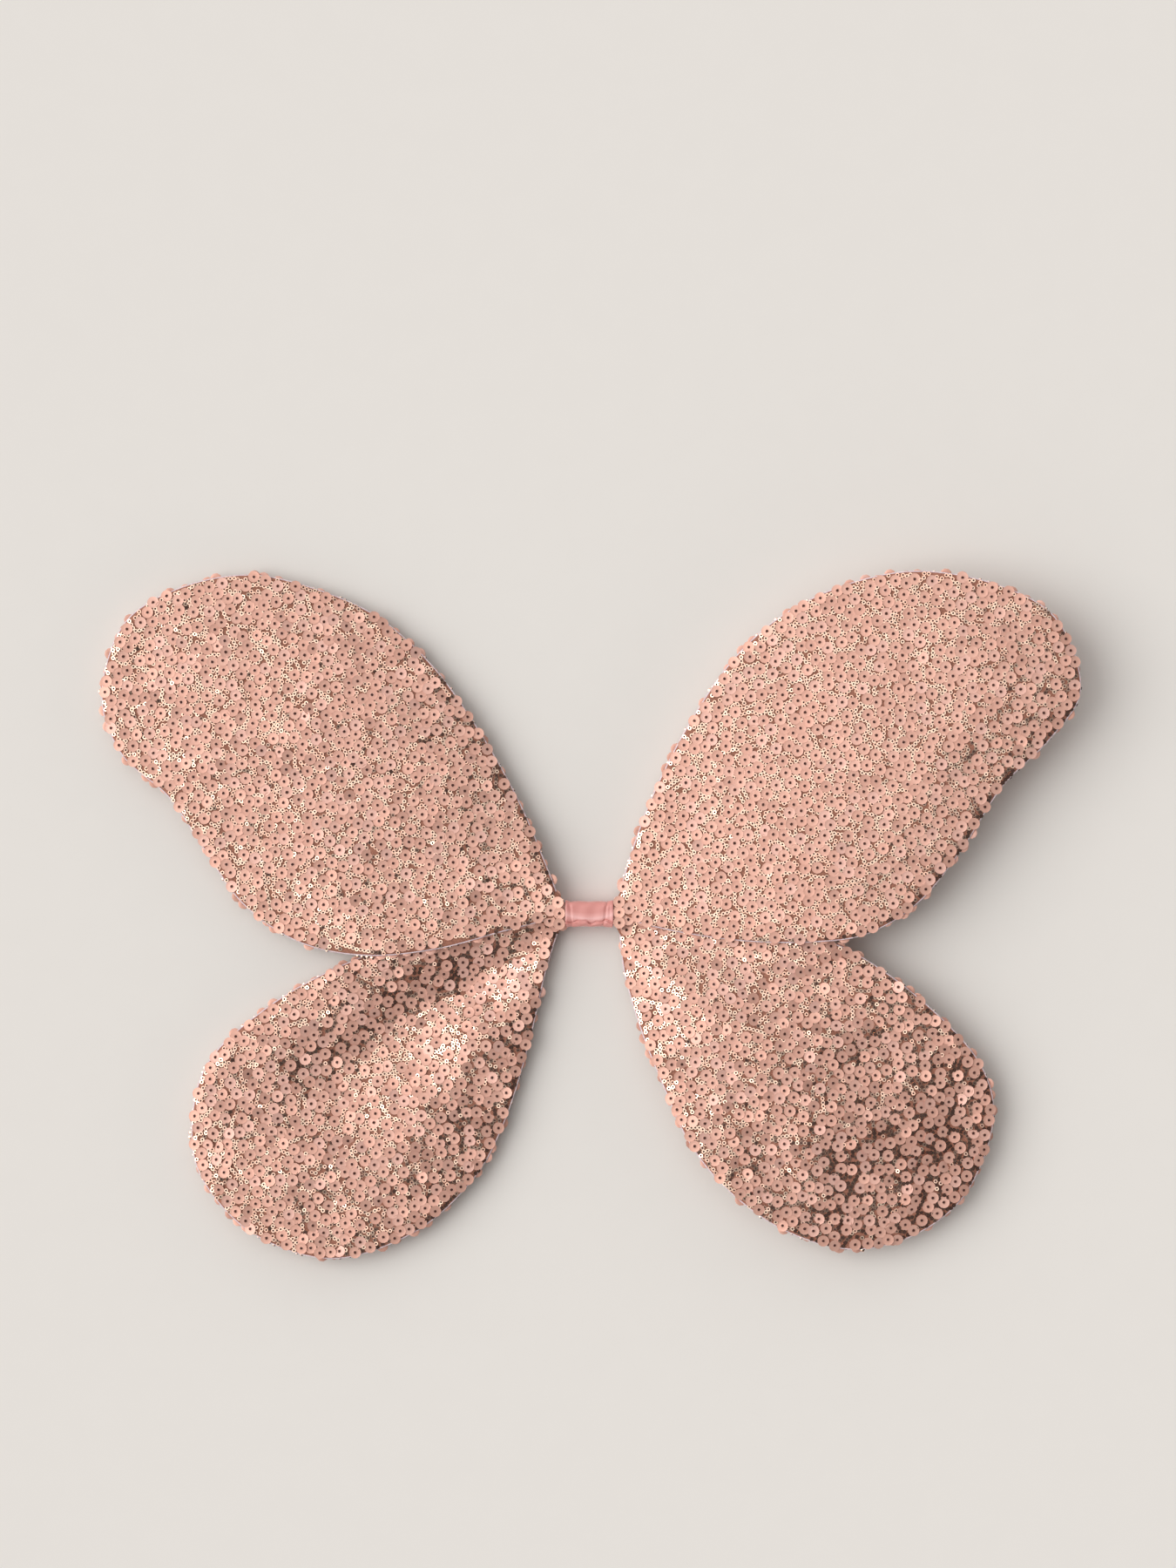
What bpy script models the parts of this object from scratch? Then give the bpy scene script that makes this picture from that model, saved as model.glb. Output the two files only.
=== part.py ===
"""Sequinned fairy wings: four wire-framed fabric lobes on a ribbon-bound bridge.

The wings lie on their back. +X points to the wearer's right-hand wing as laid out, +Y to the top
of the wings and +Z out of the sequinned front. The origin is the middle of the footprint, on the
surface that the shoulder straps rest on. Each lobe is a closed wire loop inside a flat cover sewn
from a front and a back panel. The loops' tails run into the bridge, where two crimps, a felt pad
and a satin ribbon hold them together with the ends of the two elastic shoulder straps.
"""

import math

import bmesh
import bpy
from mathutils import Vector

# ---- Driving dimensions, in metres -------------------------------------------------------------

MM = 0.001

BAND = Vector((0.0001, 0.0008))      # middle of the ribbon band, in plan
FOLD_X = 12.0 * MM                   # the wings fold at this distance from the band's middle
FOLD_Z = 14.2 * MM                   # height of the fold axes: the top of the upper lobes' roots
ROOT_Z = 9.7 * MM                    # height at the root, half way between upper and lower lobes
LAYER = 2.7 * MM                     # an upper lobe's middle lies this far above, a lower's below

WIRE_RADIUS = 0.9 * MM
PANEL_IN = 1.2 * MM                  # inner face of a panel, from the lobe's middle surface
PANEL_OUT = 1.8 * MM                 # outer face of a panel
CLOTH_INSET = 1.5 * MM               # the cloth ends inside the outline, which sequins overhang
SEAM_INSET = 0.6 * MM                # middle of the edge seam, from the cloth's edge
SEAM_HALF_WIDTH = 0.5 * MM
SEAM_HALF_HEIGHT = 0.85 * MM
WIRE_INSET = 2.7 * MM                # middle of the wire, from the cloth's edge

TAIL_START = 12.4 * MM               # a loop's two tails begin here, beyond the fold axis
TAIL_SPREAD = 1.1 * MM               # half the distance between a loop's two tails
UPPER_TAIL_Y = 1.7 * MM              # the tails of the upper loops, from the band's middle
LOWER_TAIL_Y = -1.5 * MM
BRIDGE_HALF_LENGTH = 11.2 * MM

CRIMP_HALF_LENGTH = 6.0 * MM
CRIMP_WALL = 0.4 * MM
FIT_GAP = 0.3 * MM                   # between pieces that touch

RIBBON_HALF_LENGTH = 10.9 * MM
RIBBON_WALL = 0.5 * MM
RIBBON_TOP = 14.8 * MM
RIBBON_BOTTOM = 1.8 * MM
RIBBON_REAR_Y = -5.5 * MM            # lower long side of the band, from its middle
RIBBON_FRONT_Y = 5.8 * MM            # upper long side of the band
RIBBON_CORNER = 2.6 * MM

STRAP_WIDTH = 7.0 * MM
STRAP_THICKNESS = 0.8 * MM

OUTLINE_POINTS = 48                  # points along each lobe's smooth outline
PANEL_RINGS = (0.3, 0.55, 0.75, 0.87, 0.94, 1.0)  # a panel's mesh, from its middle to its edge

# Outer outline of each lobe in millimetres from the band's middle, from one corner of its root
# round the tip to the other corner.
UPPER_LEFT = [
    (-12.3, 6.5), (-17.4, 20), (-31, 52), (-49, 84), (-72, 116), (-100, 140), (-135, 154),
    (-162, 157.6), (-192, 150.5), (-216, 134), (-226.2, 101), (-217, 73), (-195, 53),
    (-180, 31), (-161, 4), (-135, -14), (-104, -20.5), (-70, -17.5), (-38, -9), (-12.3, -2.5),
]
LOWER_LEFT = [
    (-12.3, -6), (-19, -28), (-27.5, -64), (-38.5, -98), (-53, -124), (-80, -148),
    (-118, -160.3), (-155, -149), (-179, -124), (-184.6, -98), (-177, -68), (-152, -44),
    (-120, -25), (-85, -12), (-45, -3), (-12.3, 2.5),
]
UPPER_RIGHT = [
    (12.3, 6.5), (15.4, 20), (26.6, 52), (44, 87), (66, 119), (92, 141), (124, 154.5),
    (155, 158.4), (190, 151), (215, 135), (225.8, 103), (212, 80), (190, 58), (172, 30),
    (152, 5), (128, -10), (102, -14), (70, -13.5), (38, -9), (12.3, -2.5),
]
LOWER_RIGHT = [
    (12.3, -6), (15, -28), (22.6, -54), (33, -80), (45, -106), (63, -128), (89, -146.5),
    (120, -155.5), (150, -149), (174, -130), (187, -98), (183, -72), (163, -47), (130, -21),
    (100, -8), (55, -1), (12.3, 2.5),
]

# Route of the left strap in millimetres from the band's middle (x, y, height). The tape lies flat.
STRAP_ROUTE = [
    (-1.5, 0, 4.4), (-12.5, 0, 4.4), (-18.5, 2.4, 3.5), (-28, 8, 1.8), (-42, 17, 0.7),
    (-65, 27, 0.6), (-90, 29, 0.6), (-109, 18, 0.6), (-115, 2, 0.6), (-109, -11, 0.6),
    (-90, -19, 0.6), (-65, -20, 0.6), (-42, -14, 0.7), (-28, -7, 1.2), (-18.5, -2.4, 2.3),
    (-12.5, 0, 3.2), (-1.5, 0, 3.2),
]
STRAP_POINTS = 44
LOOP_POINTS = 60

# ---- Curves and surfaces -----------------------------------------------------------------------


def smooth_curve(points, count):
    """Evenly spaced points on the Catmull-Rom curve through the given ones."""
    vectors = [Vector(p) for p in points]
    ends = [2 * vectors[0] - vectors[1]] + vectors + [2 * vectors[-1] - vectors[-2]]
    fine = []
    steps = 16
    for i in range(1, len(ends) - 2):
        a, b, c, d = ends[i - 1:i + 3]
        for k in range(steps):
            t = k / steps
            fine.append(0.5 * (2 * b + (c - a) * t + (2 * a - 5 * b + 4 * c - d) * t ** 2
                               + (3 * b - a - 3 * c + d) * t ** 3))
    fine.append(vectors[-1])
    along = [0.0]
    for first, second in zip(fine, fine[1:]):
        along.append(along[-1] + (second - first).length)
    result = []
    j = 0
    for k in range(count):
        target = along[-1] * k / (count - 1)
        while j < len(along) - 2 and along[j + 1] < target:
            j += 1
        share = (target - along[j]) / (along[j + 1] - along[j])
        result.append(fine[j].lerp(fine[j + 1], min(max(share, 0.0), 1.0)))
    return result


def inset(curve, distance, inward):
    """The curve moved sideways; inward is 1 or -1, the side of travel on which the lobe lies."""
    moved = []
    for i, point in enumerate(curve):
        before = curve[max(i - 1, 0)]
        after = curve[min(i + 1, len(curve) - 1)]
        run = (after - before).normalized()
        moved.append(point + Vector((-run.y, run.x)) * distance * inward)
    return moved


class Lobe:
    """One lobe of a wing: its outline, the side it is on and the shape of its middle surface."""

    def __init__(self, name, outline, side, layer, tail_y, bow, bend):
        self.name = name
        self.side = side
        self.layer = layer
        self.tail_y = tail_y
        self.bow = bow
        self.bend = bend
        scaled = [BAND + Vector(p) * MM for p in outline]
        curve = smooth_curve(scaled, OUTLINE_POINTS)
        area = sum(a.cross(b) for a, b in zip(curve, curve[1:] + curve[:1]))
        self.inward = 1 if area > 0 else -1
        cloth = inset(curve, CLOTH_INSET, self.inward)
        cloth[0] = curve[0]
        cloth[-1] = curve[-1]
        self.cloth = cloth

    def height(self, point):
        """Height of the lobe's middle surface at a point in plan."""
        t = min(max((abs(point.x - BAND.x) - FOLD_X) / (214 * MM), 0.0), 1.0)
        hump, rise, fall = self.bow
        wing = (hump * math.sin(math.pi * t) + rise * t - fall * t ** 2) * MM
        return ROOT_Z + self.layer + wing + self.bend(point - BAND, t)


def ramp(value, low, high):
    """0 below low, 1 above high, and smooth between."""
    t = min(max((value - low) / (high - low), 0.0), 1.0)
    return t * t * (3 - 2 * t)


def crown_bend(point, _t):
    """The left upper lobe is crowned along its length: its upper edge falls further."""
    across = point.x * 0.461 + point.y * 0.887
    reach = point.length
    half_width = min(72 * MM, 0.55 * reach + 2 * MM)
    if across > 0:
        fall = 5.0 * MM * ramp(reach, 8 * MM, 70 * MM)
    else:
        fall = 2.5 * MM * ramp(reach, 95 * MM, 150 * MM)
    return -fall * min((across / half_width) ** 2, 1.3)


def valley_bend(point, _t):
    """The left lower lobe dips under the upper one and rises to a crest by its inner edge."""
    turn = math.degrees(math.atan2(-point.y, -point.x))
    reach = point.length
    level = -2.5 * MM
    dip = -3.6 * MM * math.exp(-((turn - 31) / 10) ** 2)
    crest_width = 11 if turn < 52 else 21
    crest = 3.9 * MM * math.exp(-((turn - 52) / crest_width) ** 2)
    near = ramp(reach, 15 * MM, 70 * MM)
    far = 1 - 0.6 * ramp(reach, 120 * MM, 190 * MM)
    tip = 7.0 * MM * ramp(reach, 90 * MM, 200 * MM) * math.exp(-((turn - 28) / 18) ** 2)
    tip *= ramp(turn, 10, 24)
    return (level + dip + crest) * near * far + tip


def roll_bend(point, t):
    """The lower outer edge of the right upper lobe rolls down a little."""
    low = min(max((point.x - point.y - 60 * MM) / (90 * MM), 0.0), 1.0)
    return -4.0 * MM * low ** 2 * t


def arch_bend(point, _t):
    """The right lower lobe rises clear of the upper one, then curls down to its outer edge."""
    run = point.x * 0.78 + point.y * -0.626
    turn = math.degrees(math.atan2(-point.y, point.x))
    reach = point.length
    rise = 6.5 * MM * ramp(turn, 17, 42) * ramp(reach, 15 * MM, 80 * MM)
    droop = -12.0 * MM * (min(max((run - 70 * MM) / (130 * MM), 0.0), 1.2)) ** 2
    return rise + droop


# A lobe's bow along X from the fold axis: the height in millimetres of a hump between its ends, of
# a steady rise at the tip and of the fall that grows towards the tip.
LOBES = [
    Lobe("left_upper", UPPER_LEFT, -1, LAYER, UPPER_TAIL_Y, (1.5, 0, 2.5), crown_bend),
    Lobe("left_lower", LOWER_LEFT, -1, -LAYER, LOWER_TAIL_Y, (4, 0, 5), valley_bend),
    Lobe("right_upper", UPPER_RIGHT, 1, LAYER, UPPER_TAIL_Y, (0, 30, 12), roll_bend),
    Lobe("right_lower", LOWER_RIGHT, 1, -LAYER, LOWER_TAIL_Y, (0, 30, 12), arch_bend),
]

# ---- Materials and object helpers --------------------------------------------------------------


def material(name, color, roughness, metallic=0.0):
    made = bpy.data.materials.new(name)
    made.use_nodes = True
    shader = made.node_tree.nodes["Principled BSDF"]
    shader.inputs["Base Color"].default_value = (*color, 1.0)
    shader.inputs["Roughness"].default_value = roughness
    shader.inputs["Metallic"].default_value = metallic
    return made


def add_mesh(name, vertices, faces, finish, parent, origin):
    """An object whose origin is at the given point; vertices are in the wings' own frame."""
    mesh = bpy.data.meshes.new(name)
    mesh.from_pydata([Vector(v) - origin for v in vertices], [], faces)
    shape = bmesh.new()
    shape.from_mesh(mesh)
    bmesh.ops.recalc_face_normals(shape, faces=shape.faces[:])
    shape.to_mesh(mesh)
    shape.free()
    mesh.materials.append(finish)
    mesh.shade_smooth()
    mesh.set_sharp_from_angle(angle=math.radians(40))
    made = bpy.data.objects.new(name, mesh)
    bpy.context.collection.objects.link(made)
    made.parent = parent
    return made


def add_empty(name, location, parent=None):
    empty = bpy.data.objects.new(name, None)
    empty.location = location
    empty.parent = parent
    bpy.context.collection.objects.link(empty)
    return empty


def sweep(sections):
    """Vertices and faces of a solid through a row of four-cornered sections."""
    corners = len(sections[0])
    vertices = [corner for section in sections for corner in section]
    faces = []
    for row in range(len(sections) - 1):
        for k in range(corners):
            a = row * corners + k
            b = row * corners + (k + 1) % corners
            faces.append((a, b, b + corners, a + corners))
    faces.append(tuple(range(corners)))
    faces.append(tuple((len(sections) - 1) * corners + k for k in range(corners)))
    return vertices, faces


# ---- The lobes ---------------------------------------------------------------------------------


def add_panel(lobe, side_name, low, high, finish, parent, origin):
    """A curved sheet over the whole lobe, between two distances from its middle surface."""
    edge = lobe.cloth
    count = len(edge)
    middle = sum(edge, Vector((0.0, 0.0))) / count
    vertices = []
    for offset in (low, high):
        vertices.append((*middle, lobe.height(middle) + offset))
        for share in PANEL_RINGS:
            for point in edge:
                place = middle.lerp(point, share)
                vertices.append((*place, lobe.height(place) + offset))
    layer = 1 + len(PANEL_RINGS) * count
    faces = []
    for start in (0, layer):
        for k in range(count):
            following = (k + 1) % count
            faces.append((start, start + 1 + k, start + 1 + following))
            for ring in range(len(PANEL_RINGS) - 1):
                inner = start + 1 + ring * count
                outer = inner + count
                faces.append((inner + k, outer + k, outer + following, inner + following))
    rim = 1 + (len(PANEL_RINGS) - 1) * count
    for k in range(count):
        following = (k + 1) % count
        faces.append((rim + k, rim + layer + k, rim + layer + following, rim + following))
    return add_mesh(f"{lobe.name}_{side_name}_panel", vertices, faces, finish, parent, origin)


def add_seam(lobe, finish, parent, origin):
    """The turned and stitched edge between the two panels, open at the root."""
    path = inset(lobe.cloth, SEAM_INSET, lobe.inward)[2:-2]
    inner = inset(path, SEAM_HALF_WIDTH, lobe.inward)
    outer = inset(path, -SEAM_HALF_WIDTH, lobe.inward)
    sections = []
    for near, far in zip(inner, outer):
        near_z = lobe.height(near)
        far_z = lobe.height(far)
        sections.append([
            (*near, near_z - SEAM_HALF_HEIGHT), (*far, far_z - SEAM_HALF_HEIGHT),
            (*far, far_z + SEAM_HALF_HEIGHT), (*near, near_z + SEAM_HALF_HEIGHT),
        ])
    vertices, faces = sweep(sections)
    return add_mesh(f"{lobe.name}_edge_seam", vertices, faces, finish, parent, origin)


def add_wire(name, path, finish, parent, origin):
    """A round wire along a path of 3-D points."""
    curve = bpy.data.curves.new(name, "CURVE")
    curve.dimensions = "3D"
    curve.bevel_depth = WIRE_RADIUS
    curve.bevel_resolution = 1
    curve.use_fill_caps = True
    spline = curve.splines.new("POLY")
    spline.points.add(len(path) - 1)
    for target, point in zip(spline.points, path):
        target.co = (*(Vector(point) - origin), 1.0)
    curve.materials.append(finish)
    made = bpy.data.objects.new(name, curve)
    bpy.context.collection.objects.link(made)
    made.parent = parent
    return made


def add_loop(lobe, finish, parent, origin):
    """The lobe's wire: out from the bridge, round inside the edge, and back beside itself."""
    round_part = inset(lobe.cloth, WIRE_INSET, lobe.inward)[3:-3]
    first_side = 1 if round_part[0].y > round_part[-1].y else -1
    tails = []
    for sign in (first_side, -first_side):
        y = BAND.y + lobe.tail_y + sign * TAIL_SPREAD
        start = Vector((BAND.x + lobe.side * TAIL_START, y))
        tails.append([start, start + Vector((lobe.side * 2.5 * MM, 0.0))])
    plan = smooth_curve(tails[0] + round_part + tails[1][::-1], LOOP_POINTS)
    path = [(*point, lobe.height(point)) for point in plan]
    return add_wire(f"{lobe.name}_wire_loop", path, finish, parent, origin)


# ---- The bridge --------------------------------------------------------------------------------


def rounded_section(low_y, high_y, low_z, high_z, radius, steps=4):
    """Corner points of a rounded rectangle in the YZ plane."""
    points = []
    centres = [
        (high_y - radius, high_z - radius), (low_y + radius, high_z - radius),
        (low_y + radius, low_z + radius), (high_y - radius, low_z + radius),
    ]
    for quarter, (y, z) in enumerate(centres):
        for k in range(steps + 1):
            angle = math.pi / 2 * (quarter + k / steps)
            points.append((y + radius * math.cos(angle), z + radius * math.sin(angle)))
    return points


def add_sleeve(name, outer, wall, half_length, finish, parent):
    """A tube along X around the bridge; outer is (low y, high y, low z, high z, radius)."""
    low_y, high_y, low_z, high_z, radius = outer
    inner = (low_y + wall, high_y - wall, low_z + wall, high_z - wall, radius - wall)
    loops = [rounded_section(*outer), rounded_section(*inner)]
    count = len(loops[0])
    vertices = []
    for x in (-half_length, half_length):
        for loop in loops:
            vertices += [(BAND.x + x, BAND.y + y, z) for y, z in loop]
    faces = []
    for k in range(count):
        following = (k + 1) % count
        corners = [(ring * count + k, ring * count + following) for ring in range(4)]
        for first, second in ((0, 2), (2, 3), (3, 1), (1, 0)):
            faces.append((*corners[first], *reversed(corners[second])))
    return add_mesh(name, vertices, faces, finish, parent, Vector((0.0, 0.0, 0.0)))


def add_block(name, low, high, finish, parent):
    """A plain block between two corners, measured from the band's middle in plan."""
    vertices = []
    for z in (low[2], high[2]):
        for x, y in ((low[0], low[1]), (high[0], low[1]), (high[0], high[1]), (low[0], high[1])):
            vertices.append((BAND.x + x, BAND.y + y, z))
    faces = [(0, 1, 2, 3), (4, 5, 6, 7)]
    faces += [(k, (k + 1) % 4, (k + 1) % 4 + 4, k + 4) for k in range(4)]
    return add_mesh(name, vertices, faces, finish, parent, Vector((0.0, 0.0, 0.0)))


def add_strap(name, side, finish, parent):
    """An elastic tape that leaves the bridge, loops round flat under the wings and comes back."""
    route = [Vector((-side * x * MM + BAND.x, y * MM + BAND.y, z * MM)) for x, y, z in STRAP_ROUTE]
    points = smooth_curve(route, STRAP_POINTS)
    sections = []
    for i, centre in enumerate(points):
        before = points[max(i - 1, 0)]
        after = points[min(i + 1, len(points) - 1)]
        run = (after - before).normalized()
        wide = Vector((run.y, -run.x, 0.0)).normalized()
        half_wide = wide * STRAP_WIDTH / 2
        half_thick = wide.cross(run) * STRAP_THICKNESS / 2
        sections.append([
            centre - half_wide - half_thick, centre + half_wide - half_thick,
            centre + half_wide + half_thick, centre - half_wide + half_thick,
        ])
    vertices, faces = sweep(sections)
    return add_mesh(name, vertices, faces, finish, parent, Vector((0.0, 0.0, 0.0)))


def add_bridge(finishes, parent):
    levels = (
        ("upper", ROOT_Z + LAYER, UPPER_TAIL_Y),
        ("lower", ROOT_Z - LAYER, LOWER_TAIL_Y),
    )
    inner = WIRE_RADIUS + FIT_GAP
    for level, z, tail_y in levels:
        for order, sign in (("front", 1), ("rear", -1)):
            y = BAND.y + tail_y + sign * TAIL_SPREAD
            ends = [BAND.x - BRIDGE_HALF_LENGTH, BAND.x + BRIDGE_HALF_LENGTH]
            path = [(x, y, z) for x in ends]
            add_wire(f"{level}_{order}_bridge_wire", path, finishes["wire"], parent, Vector((0, 0, 0)))
        low_y = tail_y - TAIL_SPREAD - inner - CRIMP_WALL
        high_y = tail_y + TAIL_SPREAD + inner + CRIMP_WALL
        low_z = z - inner - CRIMP_WALL
        high_z = z + inner + CRIMP_WALL
        outer = (low_y, high_y, low_z, high_z, 0.9 * MM)
        add_sleeve(f"{level}_crimp", outer, CRIMP_WALL, CRIMP_HALF_LENGTH, finishes["crimp"], parent)
    pad_low = ROOT_Z - LAYER + inner + CRIMP_WALL + FIT_GAP
    pad_high = ROOT_Z + LAYER - inner - CRIMP_WALL - FIT_GAP
    add_block("core_pad", (-8 * MM, -3.6 * MM, pad_low), (8 * MM, 3.9 * MM, pad_high),
              finishes["felt"], parent)
    wrap = (RIBBON_REAR_Y, RIBBON_FRONT_Y, RIBBON_BOTTOM, RIBBON_TOP, RIBBON_CORNER)
    add_sleeve("ribbon_wrap", wrap, RIBBON_WALL, RIBBON_HALF_LENGTH, finishes["ribbon"], parent)
    fold_high = RIBBON_REAR_Y - FIT_GAP
    fold_low = fold_high - RIBBON_WALL
    add_block("ribbon_end_fold",
              (-10.4 * MM, fold_low, RIBBON_BOTTOM + RIBBON_CORNER),
              (10.4 * MM, fold_high, RIBBON_TOP - RIBBON_CORNER), finishes["ribbon"], parent)
    add_strap("left_shoulder_strap", -1, finishes["elastic"], parent)
    add_strap("right_shoulder_strap", 1, finishes["elastic"], parent)


def main():
    for thing in list(bpy.data.objects):
        bpy.data.objects.remove(thing, do_unlink=True)
    finishes = {
        "sequin": material("rose_sequin_cloth", (0.83, 0.52, 0.43), 0.35, 0.35),
        "mesh": material("lilac_edge_binding", (0.78, 0.62, 0.66), 0.8),
        "wire": material("coated_wire", (0.85, 0.83, 0.8), 0.4, 0.0),
        "crimp": material("steel_crimp", (0.6, 0.6, 0.6), 0.35, 1.0),
        "felt": material("felt_pad", (0.75, 0.6, 0.6), 0.95),
        "ribbon": material("satin_ribbon", (0.72, 0.33, 0.32), 0.4),
        "elastic": material("braided_elastic", (0.86, 0.62, 0.6), 0.85),
    }
    centre = add_empty("centre", (0.0, 0.0, 0.0))
    add_bridge(finishes, centre)
    folds = {}
    for side, name in ((-1, "left"), (1, "right")):
        folds[side] = add_empty(f"{name}_fold", (BAND.x + side * FOLD_X, BAND.y, FOLD_Z), centre)
    for lobe in LOBES:
        pivot = folds[lobe.side]
        origin = Vector(pivot.location)
        add_panel(lobe, "front", PANEL_IN, PANEL_OUT, finishes["sequin"], pivot, origin)
        add_panel(lobe, "back", -PANEL_OUT, -PANEL_IN, finishes["sequin"], pivot, origin)
        add_seam(lobe, finishes["mesh"], pivot, origin)
        add_loop(lobe, finishes["wire"], pivot, origin)


main()
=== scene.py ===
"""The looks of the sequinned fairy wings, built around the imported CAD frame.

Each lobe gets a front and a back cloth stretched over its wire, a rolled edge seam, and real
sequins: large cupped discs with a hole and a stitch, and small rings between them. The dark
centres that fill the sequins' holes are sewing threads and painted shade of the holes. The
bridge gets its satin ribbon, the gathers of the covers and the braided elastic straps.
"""

import math
import random

import bpy
import numpy as np
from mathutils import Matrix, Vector


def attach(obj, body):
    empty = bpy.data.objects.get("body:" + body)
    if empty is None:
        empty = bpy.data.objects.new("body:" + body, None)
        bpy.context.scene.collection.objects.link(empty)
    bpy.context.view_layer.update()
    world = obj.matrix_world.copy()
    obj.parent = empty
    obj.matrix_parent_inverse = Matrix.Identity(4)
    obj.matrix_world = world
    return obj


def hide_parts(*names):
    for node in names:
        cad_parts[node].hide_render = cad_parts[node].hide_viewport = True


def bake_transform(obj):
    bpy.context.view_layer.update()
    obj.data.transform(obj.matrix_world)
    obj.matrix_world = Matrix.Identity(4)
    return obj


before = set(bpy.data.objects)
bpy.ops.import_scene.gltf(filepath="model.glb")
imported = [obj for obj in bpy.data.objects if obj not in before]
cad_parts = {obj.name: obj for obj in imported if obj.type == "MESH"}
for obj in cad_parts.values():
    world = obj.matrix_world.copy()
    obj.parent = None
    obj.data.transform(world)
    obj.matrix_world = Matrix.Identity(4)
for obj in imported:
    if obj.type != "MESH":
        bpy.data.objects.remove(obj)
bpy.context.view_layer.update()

# ---- Shared dimensions, in metres, as in the CAD ----

MM = 0.001
BAND = np.array((0.0001, 0.0008))    # middle of the ribbon band, in plan
FOLD_X = 12.0 * MM                   # the wings fold along lines this far from the middle
ROOT_Z = 9.7 * MM                    # height of the lobes' roots
LAYER = 2.7 * MM                     # the upper lobes lie this far above it, the lower ones below
CLOTH_INSET = 1.5 * MM               # from the lobe's outline in to the cloth's edge
HALF_SPAN = 214 * MM                 # from the fold to the lobes' tips, in x
OUTLINE_POINTS = 260
WAVE_COUNT = 7                       # the undulations of a cloth
WAVE_LENGTHS = (26, 60)              # in millimetres
SHARP_ANGLE = math.radians(38)       # meshes are shaded smooth up to this angle

# The lobes' outlines, in millimetres from the band's middle, as in the CAD.
UPPER_LEFT = [
    (-12.3, 6.5), (-17.4, 20), (-31, 52), (-49, 84), (-72, 116), (-100, 140), (-135, 154),
    (-162, 157.6), (-192, 150.5), (-216, 134), (-226.2, 101), (-217, 73), (-195, 53),
    (-180, 31), (-161, 4), (-135, -14), (-104, -20.5), (-70, -17.5), (-38, -9), (-12.3, -2.5),
]
LOWER_LEFT = [
    (-12.3, -6), (-19, -28), (-27.5, -64), (-38.5, -98), (-53, -124), (-80, -148),
    (-118, -160.3), (-155, -149), (-179, -124), (-184.6, -98), (-177, -68), (-152, -44),
    (-120, -25), (-85, -12), (-45, -3), (-12.3, 2.5),
]
UPPER_RIGHT = [
    (12.3, 6.5), (15.4, 20), (26.6, 52), (44, 87), (66, 119), (92, 141), (124, 154.5),
    (155, 158.4), (190, 151), (215, 135), (225.8, 103), (212, 80), (190, 58), (172, 30),
    (152, 5), (128, -10), (102, -14), (70, -13.5), (38, -9), (12.3, -2.5),
]
LOWER_RIGHT = [
    (12.3, -6), (15, -28), (22.6, -54), (33, -80), (45, -106), (63, -128), (89, -146.5),
    (120, -155.5), (150, -149), (174, -130), (187, -98), (183, -72), (163, -47), (130, -21),
    (100, -8), (55, -1), (12.3, 2.5),
]

# ---- Sequins ----

LARGE_RADIUS = 2.75 * MM
LARGE_HOLE = 0.62 * MM
LARGE_SPACING = 4.1 * MM             # least distance between two large sequins' holes
LARGE_AREA = 33.0 * MM ** 2          # cloth for each large sequin
SMALL_RADIUS = 1.02 * MM
SMALL_HOLE = 0.52 * MM
SIDE_NAMES = {1: "front", -1: "back"}
SMALL_SPACING = {1: 1.78 * MM, -1: 2.25 * MM}     # on the front and on the back
SMALL_CLEAR = 2.75 * MM              # least distance from a small ring to a large sequin's hole
FRONT_MARGIN = 0.9 * MM              # front sequins' holes stay this far inside the edge
BACK_MARGIN = 0.2 * MM
CANDIDATES_PER_SQ_MM = 1.6
LARGE_PROFILE = [(LARGE_HOLE, 0.05 * MM), (0.9 * MM, 0.0), (1.9 * MM, 0.0),
                 (LARGE_RADIUS, 0.11 * MM), (1.8 * MM, -0.16 * MM)]
LARGE_LIFT = 0.42                    # millimetres from the cloth to a large sequin, at least
SMALL_LIFT = 0.34
LIFT_SPREAD = 0.25
STEEPEST_LEAN = 0.4                  # radians
KNOT_AND_SHADE_FACES = 2                       # a small sequin's last faces are its dark centre: sewing threads and painted shade of the hole

# ---- Plan curves and surfaces ----


def smooth_curve(points, count):
    """Evenly spaced points on the Catmull-Rom curve through the given ones."""
    p = np.array(points, float)
    p = np.vstack([2 * p[0] - p[1], p, 2 * p[-1] - p[-2]])
    steps = 16
    fine = []
    for i in range(1, len(p) - 2):
        a, b, c, d = p[i - 1:i + 3]
        for k in range(steps):
            t = k / steps
            fine.append(0.5 * (2 * b + (c - a) * t + (2 * a - 5 * b + 4 * c - d) * t ** 2
                               + (3 * b - a - 3 * c + d) * t ** 3))
    fine.append(p[-2])
    fine = np.array(fine)
    along = np.concatenate([[0], np.cumsum(np.linalg.norm(np.diff(fine, axis=0), axis=1))])
    at = np.linspace(0, along[-1], count)
    return np.stack([np.interp(at, along, fine[:, k]) for k in range(fine.shape[1])], axis=1)


def inset(curve, distance, inward):
    """The curve moved sideways, towards the lobe for a positive distance."""
    after = np.vstack([curve[1:], curve[-1]])
    before = np.vstack([curve[0], curve[:-1]])
    run = after - before
    run /= np.linalg.norm(run, axis=1)[:, None]
    return curve + np.stack([-run[:, 1], run[:, 0]], axis=1) * distance * inward


def ramp(value, low, high):
    """0 below low, 1 above high, and smooth between."""
    t = np.clip((value - low) / (high - low), 0, 1)
    return t * t * (3 - 2 * t)


# Each bend gives a lobe's extra height at a place x, y from the band's middle, where t is the
# share of the way from the fold to the tip.

CROWN_ACROSS = (0.461, 0.887)        # the direction across the left upper lobe
ARCH_ALONG = (0.78, -0.626)          # the direction along the right lower lobe


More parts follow.
